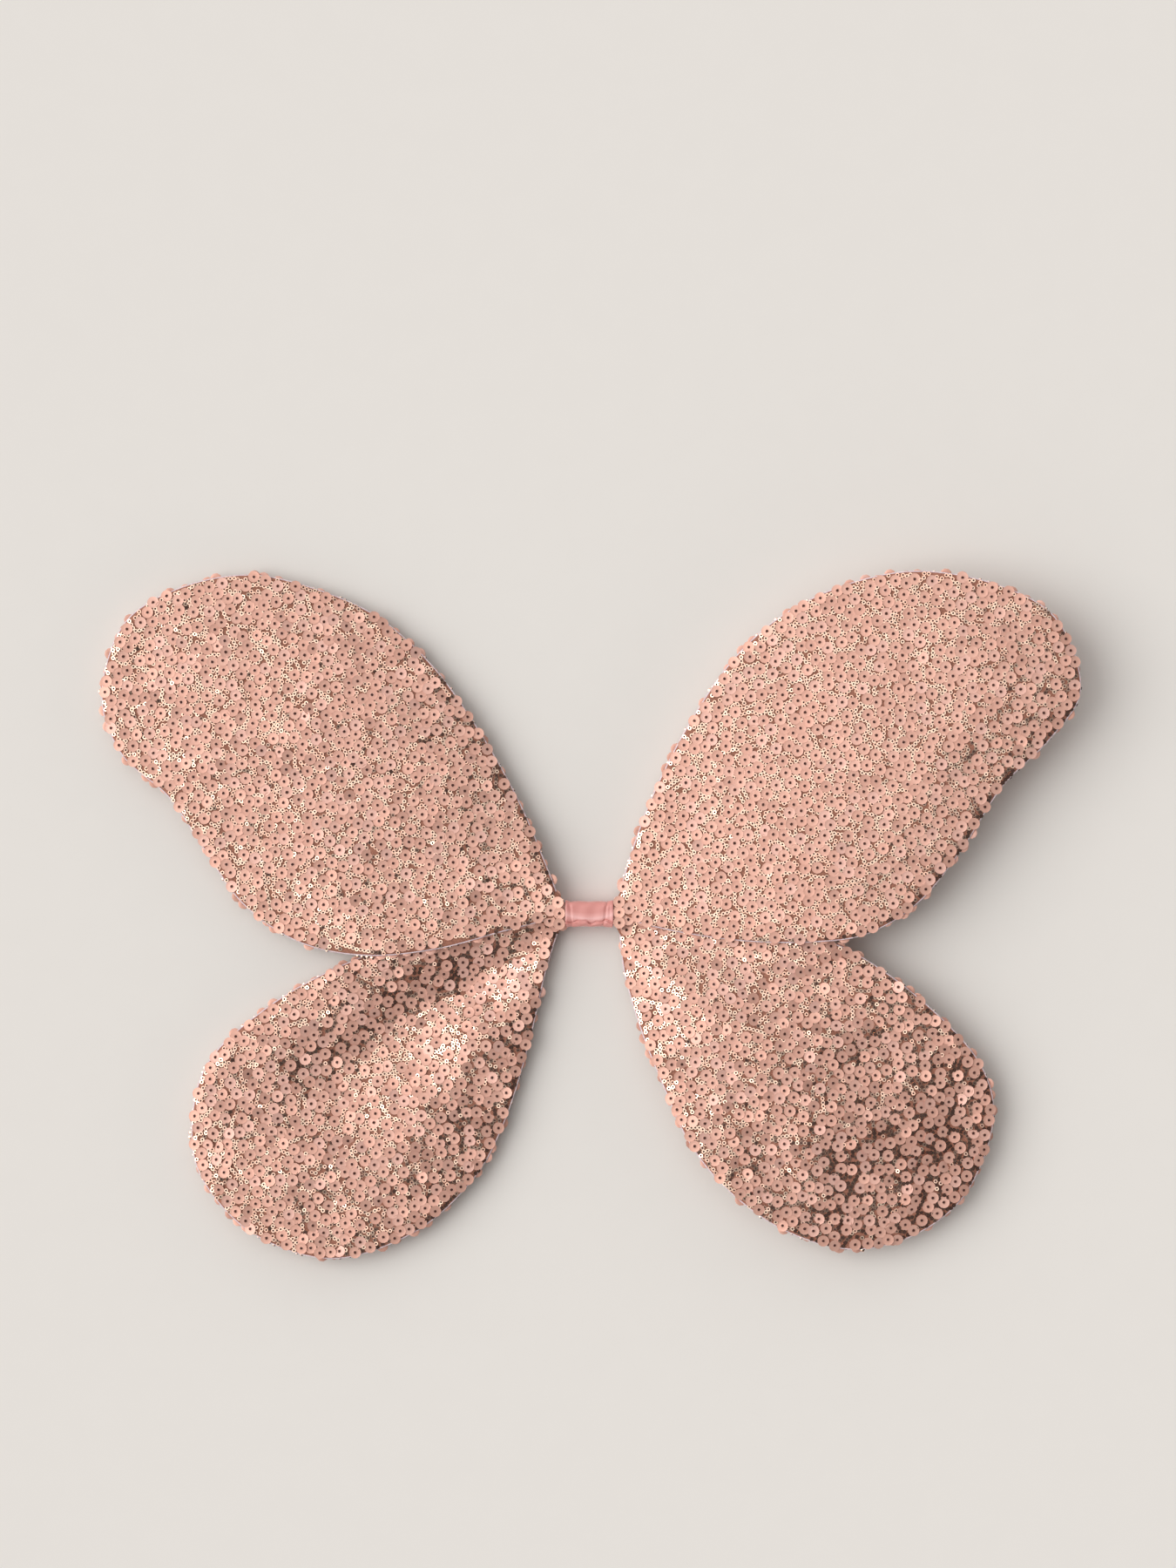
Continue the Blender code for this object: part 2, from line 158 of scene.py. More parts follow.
def crown_bend(x, y, t):
    """The left upper lobe is crowned along its length: its upper edge falls further."""
    across = x * CROWN_ACROSS[0] + y * CROWN_ACROSS[1]
    reach = np.hypot(x, y)
    half_width = np.minimum(72 * MM, 0.55 * reach + 2 * MM)
    fall = np.where(across > 0, 5.0 * MM * ramp(reach, 8 * MM, 70 * MM),
                    2.5 * MM * ramp(reach, 95 * MM, 150 * MM))
    return -fall * np.minimum((across / half_width) ** 2, 1.3)


def valley_bend(x, y, t):
    """The left lower lobe dips under the upper one and rises to a crest by its inner edge."""
    turn = np.degrees(np.arctan2(-y, -x))
    reach = np.hypot(x, y)
    level = -2.5 * MM
    dip = -3.6 * MM * np.exp(-((turn - 31) / 10) ** 2)
    crest_width = np.where(turn < 52, 11, 21)
    crest = 3.9 * MM * np.exp(-((turn - 52) / crest_width) ** 2)
    near = ramp(reach, 15 * MM, 70 * MM)
    far = 1 - 0.6 * ramp(reach, 120 * MM, 190 * MM)
    tip = 7.0 * MM * ramp(reach, 90 * MM, 200 * MM) * np.exp(-((turn - 28) / 18) ** 2)
    return (level + dip + crest) * near * far + tip * ramp(turn, 10, 24)


def roll_bend(x, y, t):
    """The right upper lobe's lower outer edge rolls down."""
    low = np.clip((x - y - 60 * MM) / (90 * MM), 0, 1)
    return -4.0 * MM * low ** 2 * t


def arch_bend(x, y, t):
    """The right lower lobe rises clear of the upper one, then curls down to its outer edge."""
    along = x * ARCH_ALONG[0] + y * ARCH_ALONG[1]
    turn = np.degrees(np.arctan2(-y, x))
    reach = np.hypot(x, y)
    rise = 6.5 * MM * ramp(turn, 17, 42) * ramp(reach, 15 * MM, 80 * MM)
    droop = -12.0 * MM * np.clip((along - 70 * MM) / (130 * MM), 0, 1.2) ** 2
    return rise + droop


class Lobe:
    """One lobe: its cloth's outline in plan and the heights of its two cloths.

    The bow is the hump, rise and fall of its length in millimetres, the tilts are how far its
    large sequins and small rings lean, in degrees, and the slack is how deep its cloth
    undulates, in millimetres.
    """

    def __init__(self, name, outline, layer, bow, bend, tilt, ring_tilt, slack, seed):
        self.name = name
        self.layer = layer
        self.bow = bow
        self.bend = bend
        self.tilt = math.radians(tilt)
        self.ring_tilt = math.radians(ring_tilt)
        self.slack = slack
        self.random = random.Random(seed)
        self.body = f"{name}_lobe"
        curve = smooth_curve(np.array(outline) * MM + BAND, OUTLINE_POINTS)
        following = np.roll(curve, -1, axis=0)
        turned = (curve[:, 0] * following[:, 1] - curve[:, 1] * following[:, 0]).sum()
        self.inward = 1 if turned > 0 else -1
        self.edge = inset(curve, CLOTH_INSET, self.inward)
        self.edge[0] = curve[0]
        self.edge[-1] = curve[-1]
        phases = np.random.default_rng(seed)
        self.waves = [(phases.uniform(0, 2 * math.pi), phases.uniform(0, 2 * math.pi),
                       phases.uniform(*WAVE_LENGTHS) * MM) for _ in range(WAVE_COUNT)]

    @property
    def size(self):
        return self.edge.max(0) - self.edge.min(0)

    @property
    def area(self):
        following = np.roll(self.edge, -1, axis=0)
        cross = self.edge[:, 0] * following[:, 1] - self.edge[:, 1] * following[:, 0]
        return abs(cross.sum()) / 2

    def depth(self, points):
        """How far inside the cloth's edge each point is; negative outside."""
        a = self.edge
        b = np.roll(self.edge, -1, axis=0)
        best = np.full(len(points), 1e9)
        inside = np.zeros(len(points), bool)
        x, y = points[:, 0], points[:, 1]
        for (ax, ay), (bx, by) in zip(a, b):
            dx, dy = bx - ax, by - ay
            t = np.clip(((x - ax) * dx + (y - ay) * dy) / (dx * dx + dy * dy), 0, 1)
            best = np.minimum(best, (x - ax - t * dx) ** 2 + (y - ay - t * dy) ** 2)
            crosses = ((ay > y) != (by > y)) & (x < dx * (y - ay) / (dy or 1e-12) + ax)
            inside ^= crosses
        return np.where(inside, 1, -1) * np.sqrt(best)

    def inside_test(self, margin):
        """A quick test of a point against the outline, from a grid of one-millimetre cells."""
        low = self.edge.min(0)
        columns, rows = np.ceil((self.edge.max(0) - low) / MM).astype(int) + 1
        grid = np.stack(np.meshgrid(np.arange(columns), np.arange(rows), indexing="ij"), axis=-1)
        deep = (self.depth((grid.reshape(-1, 2) + 0.5) * MM + low) > margin).reshape(columns, rows)

        def test(x, y):
            i, j = int((x - low[0]) / MM), int((y - low[1]) / MM)
            return 0 <= i < columns and 0 <= j < rows and deep[i, j]

        return test

    def middle(self, points, depth):
        """Height of the surface that the wire lies in, with the cloth's slow undulation."""
        x = points[:, 0] - BAND[0]
        y = points[:, 1] - BAND[1]
        t = np.clip((np.abs(x) - FOLD_X) / HALF_SPAN, 0, 1)
        hump, rise, fall = self.bow
        wing = (hump * np.sin(math.pi * t) + rise * t - fall * t ** 2) * MM
        slow = np.zeros(len(points))
        for turn, phase, length in self.waves:
            run = x * math.cos(turn) + y * math.sin(turn)
            slow += np.sin(2 * math.pi * run / length + phase)
        slow *= self.slack * MM * ramp(depth, 3 * MM, 20 * MM)
        return ROOT_Z + self.layer + wing + self.bend(x, y, t) + slow

    def puff(self, depth):
        """Distance from the middle surface to either cloth: full over the wire, slack inside."""
        d = np.clip(depth, 0, None)
        over_wire = (0.25 + 1.05 * np.sin(math.pi / 2 * np.clip(d / (2.5 * MM), 0, 1))) * MM
        slack = 0.6 * MM * ramp(d, 3 * MM, 16 * MM)
        return over_wire - slack

    def cloth(self, points, face):
        """Height of the front (face 1) or back (face -1) cloth."""
        depth = self.depth(points)
        return self.middle(points, depth) + face * self.puff(depth)

    def lean(self, points, face):
        """Height of the surface that the sequins lie along: it turns less at the edge."""
        depth = self.depth(points)
        return self.middle(points, depth) + face * 0.35 * self.puff(depth)

    def normals(self, points, face):
        """Outward normals for the sequins of the front or back cloth."""
        step = 0.4 * MM

        def rise(shift):
            level = [self.lean(points + sign * np.array(shift), face) for sign in (1, -1)]
            return level[0] - level[1]

        east = rise((step, 0))
        north = rise((0, step))
        n = np.stack([-east / (2 * step), -north / (2 * step), np.ones(len(points))], axis=1)
        n /= np.linalg.norm(n, axis=1)[:, None]
        return n * face


LOBES = [
    Lobe("left_upper", UPPER_LEFT, LAYER, (1.5, 0, 2.5), crown_bend, 5.5, 4.5, 0.10, 11),
    Lobe("left_lower", LOWER_LEFT, -LAYER, (4, 0, 5), valley_bend, 7.5, 6.0, 0.14, 12),
    Lobe("right_upper", UPPER_RIGHT, LAYER, (0, 30, 12), roll_bend, 2.6, 2.4, 0.04, 13),
    Lobe("right_lower", LOWER_RIGHT, -LAYER, (0, 30, 12), arch_bend, 8.5, 5.0, 0.12, 14),
]

# ---- Object helpers ----


def shaded(mesh):
    """A linked object of a finished mesh, shaded smooth except at sharp edges."""
    mesh.shade_smooth()
    mesh.set_sharp_from_angle(angle=SHARP_ANGLE)
    made = bpy.data.objects.new(mesh.name, mesh)
    bpy.context.scene.collection.objects.link(made)
    return made


def mesh_object(name, vertices, faces, material):
    """An object of one material from its vertices and a list of faces."""
    mesh = bpy.data.meshes.new(name)
    mesh.from_pydata(np.asarray(vertices).tolist(), [], faces)
    mesh.materials.append(material)
    return shaded(mesh)


def grid_faces(rows, columns, round_columns=True, flip=False):
    """Quads between rows of points, each row a closed ring unless it is told not to be."""
    faces = []
    for i in range(rows - 1):
        for k in range(columns if round_columns else columns - 1):
            a = i * columns + k
            b = i * columns + (k + 1) % columns
            quad = (a, b, b + columns, a + columns)
            faces.append(quad[::-1] if flip else quad)
    return faces


def rod_faces(rows, columns, flip=False):
    """The faces of a solid rod: its skin and its two ends."""
    last = (rows - 1) * columns
    ends = (tuple(range(columns))[::-1], tuple(range(last, last + columns)))
    return grid_faces(rows, columns, flip=flip) + [end[::-1] if flip else end for end in ends]


def sleeve_faces(rows, columns, flip=False):
    """The faces of a tube with a wall: its outer shell, its inner shell and its two rims."""
    total = rows * columns
    faces = grid_faces(rows, columns, flip=flip)
    faces += [tuple(total + v for v in quad)
              for quad in grid_faces(rows, columns, flip=not flip)]
    for start in (0, total - columns):
        for k in range(columns):
            a, b = start + k, start + (k + 1) % columns
            quad = (a, a + total, b + total, b)
            faces.append(quad if (start == 0) != flip else quad[::-1])
    return faces


def circles(profile, sides, first=0.0):
    """The points of one circle after another, for a profile of (radius, height) points."""
    points = []
    for radius, height in profile:
        for k in range(sides):
            angle = 2 * math.pi * (k + first) / sides
            points.append((radius * math.cos(angle), radius * math.sin(angle), height))
    return np.array(points)


def ring_template(profile, segments):
    """A closed ring turned from a profile of (radius, height) points, all in quads."""
    faces = []
    rows = len(profile)
    for row in range(rows):
        for k in range(segments):
            a = row * segments + k
            b = row * segments + (k + 1) % segments
            c = (row + 1) % rows * segments + (k + 1) % segments
            d = (row + 1) % rows * segments + k
            faces.append((a, d, c, b))
    return circles(profile, segments), np.array(faces)


def small_sequin_template():
    """A closed small sequin, all in quads: a ring, and flush in its hole a dark centre of sewing
    threads and painted shade of the hole.
    """
    sides = 6
    profile = [(SMALL_HOLE, 0.04 * MM), (SMALL_RADIUS, 0.04 * MM), (0.7 * MM, -0.16 * MM)]
    faces = []
    for row in range(2):
        for k in range(sides):
            a = row * sides + k
            b = row * sides + (k + 1) % sides
            faces.append((a, a + sides, b + sides, b))
    hexagon = [(0, 1, 2, 3), (0, 3, 4, 5)]
    under = [tuple(2 * sides + v for v in face[::-1]) for face in hexagon]
    return circles(profile, sides), np.array(faces + under + hexagon)


def knot_and_hole_shade_template():
    """A small closed stitch that fills a large sequin's hole: sewing threads and painted shade of
    the hole.
    """
    profile = [(0.42 * MM, 0.04 * MM), (0.80 * MM, -0.10 * MM)]
    faces = [(0, 1, 2, 3), (7, 6, 5, 4)]
    faces += [(k, k + 4, (k + 1) % 4 + 4, (k + 1) % 4) for k in range(4)]
    return circles(profile, 4, 0.5), np.array(faces)


def square_to(normals):
    """Two unit directions square to each normal and to each other."""
    side = np.cross(normals, np.array((0.0, 1.0, 0.0)))
    side /= np.linalg.norm(side, axis=1)[:, None]
    return side, np.cross(normals, side)


def scattered(name, template, places, normals, spins, finishes, picks=None):
    """One mesh of many copies of a template, each set at a place with a normal and a spin.

    With picks, each copy has one of the finishes, and its last faces, the dark centre of sewing
    threads and painted shade, have the last finish.
    """
    base, faces = template
    up = normals
    side, ahead = square_to(up)
    cos, sin = np.cos(spins)[:, None], np.sin(spins)[:, None]
    first = side * cos + ahead * sin
    second = np.cross(up, first)
    turned = (places[:, None, :] + base[None, :, 0, None] * first[:, None, :]
              + base[None, :, 1, None] * second[:, None, :]
              + base[None, :, 2, None] * up[:, None, :])
    count = len(places)
    vertices = turned.reshape(-1, 3)
    firsts = np.arange(count) * len(base)
    all_faces = (faces[None] + firsts[:, None, None]).reshape(-1, 4)
    mesh = bpy.data.meshes.new(name)
    mesh.vertices.add(len(vertices))
    mesh.vertices.foreach_set("co", vertices.astype(np.float32).ravel())
    mesh.loops.add(all_faces.size)
    mesh.loops.foreach_set("vertex_index", all_faces.astype(np.int32).ravel())
    mesh.polygons.add(len(all_faces))
    mesh.polygons.foreach_set("loop_start", np.arange(0, all_faces.size, 4, dtype=np.int32))
    mesh.update(calc_edges=True)
    for finish in finishes:
        mesh.materials.append(finish)
    if picks is not None:
        slots = np.repeat(picks, len(faces)).reshape(count, len(faces))
        # the last faces, the dark centres, take the last finish: sewing threads and painted shade
        slots[:, -KNOT_AND_SHADE_FACES:] = len(finishes) - 1
        mesh.polygons.foreach_set("material_index", slots.ravel().astype(np.int32))
    return shaded(mesh)


# ---- Materials ----


class Finish:
    """A material's node tree, with short calls for its nodes."""

    def __init__(self, name, color, roughness, metallic=0.0):
        self.material = bpy.data.materials.new(name)
        self.material.use_nodes = True
        self.tree = self.material.node_tree
        self.shader = self.tree.nodes["Principled BSDF"]
        self.set("Base Color", (*color, 1.0))
        self.set("Roughness", roughness)
        self.set("Metallic", metallic)

    def set(self, socket, value):
        self.shader.inputs[socket].default_value = value

    def node(self, kind, **settings):
        made = self.tree.nodes.new(kind)
        for key, value in settings.items():
            if hasattr(made, key):
                setattr(made, key, value)
            else:
                made.inputs[key.replace("_", " ")].default_value = value
        return made

    def link(self, source, output, target, socket):
        self.tree.links.new(source.outputs[output], target.inputs[socket])

    def math(self, operation, *values):
        """A maths node; each value is a number or a pair of a node and its output."""
        made = self.node("ShaderNodeMath", operation=operation)
        for socket, value in zip(made.inputs, values):
            if isinstance(value, tuple):
                self.tree.links.new(value[0].outputs[value[1]], socket)
            else:
                socket.default_value = value
        return made

    def colors(self, factor_node, output, stops):
        """A colour ramp from a node's output to the base colour."""
        made = self.node("ShaderNodeValToRGB")
        ramp_colors = made.color_ramp
        while len(ramp_colors.elements) < len(stops):
            ramp_colors.elements.new(0.5)
        for element, (position, color) in zip(ramp_colors.elements, stops):
            element.position = position
            element.color = (*color, 1.0)
        self.link(factor_node, output, made, "Fac")
        self.link(made, "Color", self.shader, "Base Color")

    def laid(self, kind, **settings):
        """A node whose vector is the place on the object."""
        made = self.node(kind, **settings)
        self.link(self.node("ShaderNodeTexCoord"), "Object", made, "Vector")
        return made

    def noise(self, scale, detail=3.0):
        return self.laid("ShaderNodeTexNoise", Scale=scale, Detail=detail)

    def stretched_noise(self, scales):
        """Noise drawn out along an axis, for threads and drawn lines."""
        spread = self.laid("ShaderNodeMapping", Scale=scales)
        made = self.node("ShaderNodeTexNoise", Scale=1.0, Detail=2.0)
        self.link(spread, "Vector", made, "Vector")
        return made

    def bump(self, source, output, strength, distance):
        made = self.node("ShaderNodeBump", Strength=strength, Distance=distance)
        self.link(source, output, made, "Height")
        self.link(made, "Normal", self.shader, "Normal")


def large_sequin_finish():
    """Satin rose gold, each sequin a little lighter or darker than the next."""
    made = Finish("large_sequin", (0.75, 0.43, 0.34), 0.38, 0.28)
    info = made.node("ShaderNodeNewGeometry")
    made.colors(info, "Random Per Island", [
        (0.0, (0.735, 0.405, 0.318)), (0.3, (0.785, 0.44, 0.35)), (0.7, (0.815, 0.47, 0.375)),
        (1.0, (0.85, 0.51, 0.43)),
    ])
    made.set("Specular IOR Level", 0.15)
    return made.material


def small_ring_finishes():
    """Bright copper in three tints."""
    tints = (("champagne", (0.96, 0.71, 0.55)), ("rose", (0.93, 0.59, 0.45)),
             ("blush", (0.95, 0.65, 0.51)))
    return [Finish(f"small_ring_{name}", color, 0.20, 1.0).material for name, color in tints]


def mesh_cloth_and_gap_shade_finish():
    """Fine net, a deep copper brown in the gaps between the sequins: partly the net's own colour,
    partly painted shade of the gaps.
    """
    made = Finish("lilac_mesh_cloth", (0.56, 0.34, 0.37), 0.85)
    weave = made.laid("ShaderNodeTexVoronoi", Scale=1400.0)
    # the ramp's browns are darker than the net: painted shade in the gaps between the sequins
    made.colors(weave, "Distance", [(0.0, (0.19, 0.070, 0.045)), (0.6, (0.42, 0.18, 0.12))])
    made.bump(weave, "Distance", 0.5, 0.0002)
    return made.material


def mottled(name, color, roughness, metallic, scale, dark, light, relief=None, detail=3.0):
    """A finish whose colour and relief follow one noise; the relief is a strength and metres."""
    made = Finish(name, color, roughness, metallic)
    grain = made.noise(scale, detail)
    made.colors(grain, "Fac", [(0.3, dark), (0.7, light)])
    if relief:
        made.bump(grain, "Fac", *relief)
    return made.material


def gather_finish():
    """The covers' gathered ends: pink net with the sequins' colour showing through."""
    return mottled("gathered_net", (0.66, 0.38, 0.31), 0.6, 0.2, 900.0,
                   (0.46, 0.22, 0.17), (0.86, 0.55, 0.45), (0.6, 0.0003))


def thread_and_hole_shade_finish():
    """Dark brown sewing threads in the sequins' holes, darkened as painted shade of the holes."""
    return mottled("brown_thread", (0.08, 0.025, 0.018), 0.8, 0.0, 2500.0,
                   (0.05, 0.014, 0.010), (0.10, 0.032, 0.024))


def seam_finish():
    """Pale lilac edge tape with a fine grain."""
    return mottled("lilac_edge_seam", (0.82, 0.66, 0.72), 0.7, 0.0, 900.0,
                   (0.72, 0.55, 0.61), (0.92, 0.80, 0.84), (0.5, 0.0002))


def wire_finish():
    """Dull galvanised wire: a faint mottle."""
    return mottled("galvanised_wire", (0.46, 0.45, 0.44), 0.45, 0.9, 700.0,
                   (0.38, 0.37, 0.36), (0.55, 0.54, 0.53), (0.2, 0.0001))


def felt_finish():
    """Pink felt: short fibres."""
    return mottled("pink_felt", (0.62, 0.36, 0.36), 0.95, 0.0, 1500.0,
                   (0.52, 0.28, 0.28), (0.72, 0.44, 0.44), (0.7, 0.0003), detail=6.0)


# ---- Lobes ----

CLOTH_THICKNESS = 0.3 * MM
CLOTH_RIM = 0.18 * MM                # its thickness at the rim
CLOTH_RINGS = 22
CLOTH_SPOKES = 130
SEAM_INSET = 0.15 * MM
SEAM_HALF_WIDTH = 0.42 * MM
SEAM_HALF_HEIGHT = 0.5 * MM
SEAM_SIDES = 8


def make_cloth(lobe, face, finish):
    """The front or back cloth: a thin closed sheet stretched over the wire loop."""
    spokes = lobe.edge[np.linspace(0, len(lobe.edge) - 1, CLOTH_SPOKES).astype(int)]
    centre = spokes.mean(0)
    shares = 1 - (1 - np.linspace(0, 1, CLOTH_RINGS + 1)[1:]) ** 1.7
    plan = [centre[None]]
    plan += [centre + (spokes - centre) * share for share in shares]
    plan = np.vstack(plan)
    outer = lobe.cloth(plan, face)
    inner = outer - face * CLOTH_THICKNESS
    inner[-CLOTH_SPOKES:] = outer[-CLOTH_SPOKES:] - face * CLOTH_RIM
    vertices = np.vstack([np.column_stack([plan, outer]), np.column_stack([plan, inner])])
    half = len(plan)
    faces = []
    for start, flip in ((0, face < 0), (half, face > 0)):
        for k in range(CLOTH_SPOKES):
            following = (k + 1) % CLOTH_SPOKES
            loops = [(start, start + 1 + k, start + 1 + following)]
            for ring in range(CLOTH_RINGS - 1):
                inside = start + 1 + ring * CLOTH_SPOKES
                outside = inside + CLOTH_SPOKES
                loops.append((inside + k, outside + k, outside + following, inside + following))
            faces += [loop[::-1] if flip else loop for loop in loops]
    rim = 1 + (CLOTH_RINGS - 1) * CLOTH_SPOKES
    for k in range(CLOTH_SPOKES):
        following = (k + 1) % CLOTH_SPOKES
        loop = (rim + k, rim + half + k, rim + half + following, rim + following)
        faces.append(loop[::-1] if face < 0 else loop)
    if lobe.inward < 0:
        faces = [loop[::-1] for loop in faces]
    made = mesh_object(f"{lobe.name}_{SIDE_NAMES[face]}_cloth", vertices, faces, finish)
    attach(made, lobe.body)
    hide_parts(f"{lobe.name}_{SIDE_NAMES[face]}_panel")


def make_seam(lobe, finish):
    """The turned edge that joins the two cloths: a thin rolled piping round the rim."""
    path = inset(lobe.edge, SEAM_INSET, lobe.inward)[2:-2]
    heights = lobe.middle(path, lobe.depth(path))
    run = np.gradient(path, axis=0)
    run /= np.linalg.norm(run, axis=1)[:, None]
    side = np.stack([run[:, 1], -run[:, 0]], axis=1)
    rings = []
    ripple = 1 + 0.12 * np.sin(np.arange(len(path)) * 2.1)
    for k in range(SEAM_SIDES):
        angle = 2 * math.pi * k / SEAM_SIDES
        shift = side * (SEAM_HALF_WIDTH * ripple * math.cos(angle))[:, None]
        height = heights + SEAM_HALF_HEIGHT * math.sin(angle)
        rings.append(np.column_stack([path + shift, height]))
    vertices = np.stack(rings, axis=1).reshape(-1, 3)
    faces = rod_faces(len(path), SEAM_SIDES, flip=True)
    made = mesh_object(f"{lobe.name}_seam", vertices, faces, finish)
    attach(made, lobe.body)
    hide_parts(f"{lobe.name}_edge_seam")


class Ground:
    """The places already taken, in square cells, each with the distance that it keeps free."""

    def __init__(self, cell):
        self.cell = cell
        self.cells = {}

    def take(self, x, y, distance):
        cell = (int(x // self.cell), int(y // self.cell))
        self.cells.setdefault(cell, []).append((x, y, distance ** 2))

    def free(self, x, y):
        i, j = int(x // self.cell), int(y // self.cell)
        for u in (i - 1, i, i + 1):
            for v in (j - 1, j, j + 1):
                for taken_x, taken_y, square in self.cells.get((u, v), ()):
                    if (taken_x - x) ** 2 + (taken_y - y) ** 2 < square:
                        return False
        return True


def throw(candidates, spacing, limit):
    """Keeps the candidates in order, up to a number, but none too near to a kept one."""
    ground = Ground(spacing)
    kept = []
    for x, y in candidates.tolist():
        if len(kept) >= limit:
            break
        if ground.free(x, y):
            kept.append((x, y))
            ground.take(x, y, spacing)
    return np.array(kept)


LONGEST_CHAIN = 60                   # rings after a chain's first one
TRIES = 7                            # directions tried for each next ring
WANDER = 0.9                         # radians by which a chain turns at each ring


def chains(candidates, spacing, inside, taken, clear, rng):
    """Small rings threaded one after another along wandering lines between the large sequins."""
    ground = Ground(max(spacing, clear))
    for x, y in taken:
        ground.take(x, y, clear)
    kept = []
    near = spacing * 0.97            # a shade less than a step, so that the next ring is free
    for x, y in candidates.tolist():
        if not ground.free(x, y):
            continue
        heading = rng.uniform(0, 2 * math.pi)
        kept.append((x, y))
        ground.take(x, y, near)
        for _ in range(LONGEST_CHAIN):
            for swing in sorted((rng.gauss(0, WANDER) for _ in range(TRIES)), key=abs):
                u = x + spacing * math.cos(heading + swing)
                v = y + spacing * math.sin(heading + swing)
                if inside(u, v) and ground.free(u, v):
                    break
            else:
                break
            x, y = u, v
            heading += swing
            kept.append((x, y))
            ground.take(x, y, near)
    return np.array(kept)


def tilted(normals, angles, turns):
    """Normals leaned by each angle towards each turn."""
    side, ahead = square_to(normals)
    lean = side * np.cos(turns)[:, None] + ahead * np.sin(turns)[:, None]
    return normals * np.cos(angles)[:, None] + lean * np.sin(angles)[:, None]


# The front sequins sewn on first: millimetres from the band's middle, and how many degrees each
# one leans to the left. They cover the gathers and catch the light.
FIRST_SEQUINS = {
    "left_upper": [(-14.6, 5.3, 12), (-13.9, 0.3, 6), (-13.9, -4.6, -4), (-17.9, 1.6, 2),
                   (-18.4, -3.2, -3), (-19.6, 11.1, 12), (-24.3, 8.2, 11), (-23.3, 3.2, 12),
                   (-27.5, 14.7, 12), (-33.8, 22.1, 12)],
    "left_lower": [(-20.5, -13.5, 11), (-27.0, -21.0, 12), (-24.0, -29.5, 12)],
    "right_upper": [(13.8, 5.6, 4), (13.8, 0.8, 10), (13.8, -4.0, 3), (18.2, 2.6, 2),
                    (18.0, -2.4, 4), (15.7, 12.6, 12), (21.8, 12.8, 12)],
    "right_lower": [(18.8, -13.7, 12), (21.5, -20.0, 12), (26.0, -15.0, 12)],
}
GATHER_REACH = 15.6 * MM             # sequins nearer to the band's middle are on the gathers
GATHER_TOP = 14.3 * MM               # and at this height
BARE_WIDTH = 1.9 * MM


def bare_edge(lobe, points):
    """How much further in the sequins end where the left upper lobe's seam lies bare."""
    if lobe.name != "left_upper":
        return 0.0
    x, y = points[:, 0] - BAND[0], points[:, 1] - BAND[1]
    reach = ramp(-x, 38 * MM, 46 * MM) * ramp(x, -122 * MM, -108 * MM) * (y < 0)
    return BARE_WIDTH * reach


def make_sequins(lobe, face, large_finish, small_finishes, thread_and_shade):
    """One side's sequins: a mesh of large ones, one of the dark stitch filling each of their holes
    (sewing threads and painted shade), and one of small rings.
    """
    front = face > 0
    margin = FRONT_MARGIN if front else BACK_MARGIN
    rng = np.random.default_rng(lobe.random.randrange(10 ** 6))
    low, high = lobe.edge.min(0), lobe.edge.max(0)
    count = int(np.prod(high - low) / MM ** 2 * CANDIDATES_PER_SQ_MM)
    candidates = rng.uniform(low, high, (count, 2))
    depth = lobe.depth(candidates)
    candidates = candidates[depth > margin + bare_edge(lobe, candidates) * front]
    first = np.array(FIRST_SEQUINS[lobe.name] if front else []).reshape(-1, 3)
    candidates = np.vstack([BAND + first[:, :2] * MM, candidates])
    large = throw(candidates, LARGE_SPACING, int(lobe.area / LARGE_AREA))
    small = chains(candidates, SMALL_SPACING[face], lobe.inside_test(margin), large.tolist(),
                   SMALL_CLEAR, lobe.random)
    if front:
        large_shape = ring_template(LARGE_PROFILE, 12)
    else:
        large_shape = ring_template([LARGE_PROFILE[0], *LARGE_PROFILE[3:]], 10)
    for kind, places, shape, lift, tilt, finishes in (
            ("large", large, large_shape, LARGE_LIFT, lobe.tilt, [large_finish]),
            ("small", small, small_sequin_template(), SMALL_LIFT, lobe.ring_tilt,
             [*small_finishes, thread_and_shade])):
        number = len(places)
        normals = lobe.normals(places, face)
        angles = np.clip(np.abs(rng.normal(0, tilt, number)), 0, STEEPEST_LEAN)
        leaning = tilted(normals, angles, rng.uniform(0, 2 * math.pi, number))
        heights = lobe.cloth(places, face)
        if kind == "large" and len(first):
            lean = np.radians(first[:, 2])
            flat = np.zeros(len(first))
            leaning[:len(first)] = np.stack([-np.sin(lean), flat, np.cos(lean)], axis=1)
            gathered = np.abs(first[:, 0] * MM) < GATHER_REACH
            heights[:len(first)][gathered] = GATHER_TOP
        stand = (lift + rng.uniform(0, LIFT_SPREAD, number)) * MM
        centres = np.column_stack([places, heights]) + normals * stand[:, None]
        picks = rng.integers(0, len(small_finishes), number) if kind == "small" else None
        made = [scattered(f"{lobe.name}_{SIDE_NAMES[face]}_{kind}_sequins", shape, centres,
                          leaning, rng.uniform(0, 2 * math.pi, number), finishes, picks)]
        if kind == "large":
            # each large sequin's hole is filled with a dark stitch: sewing threads and painted
            # shade of the hole
            made.append(scattered(f"{lobe.name}_{SIDE_NAMES[face]}_stitches", knot_and_hole_shade_template(),
                                  centres, leaning, np.zeros(number), [thread_and_shade]))
        for piece in made:
            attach(piece, lobe.body)


def make_lobes():
    """The cloths, sequins and seams of the four lobes."""
    cloth = mesh_cloth_and_gap_shade_finish()
    seam = seam_finish()
    large = large_sequin_finish()
    small = small_ring_finishes()
    thread_and_shade = thread_and_hole_shade_finish()
    for lobe in LOBES:
        for face in (1, -1):
            make_cloth(lobe, face, cloth)
            make_sequins(lobe, face, large, small, thread_and_shade)
        make_seam(lobe, seam)


# ---- The bridge ----

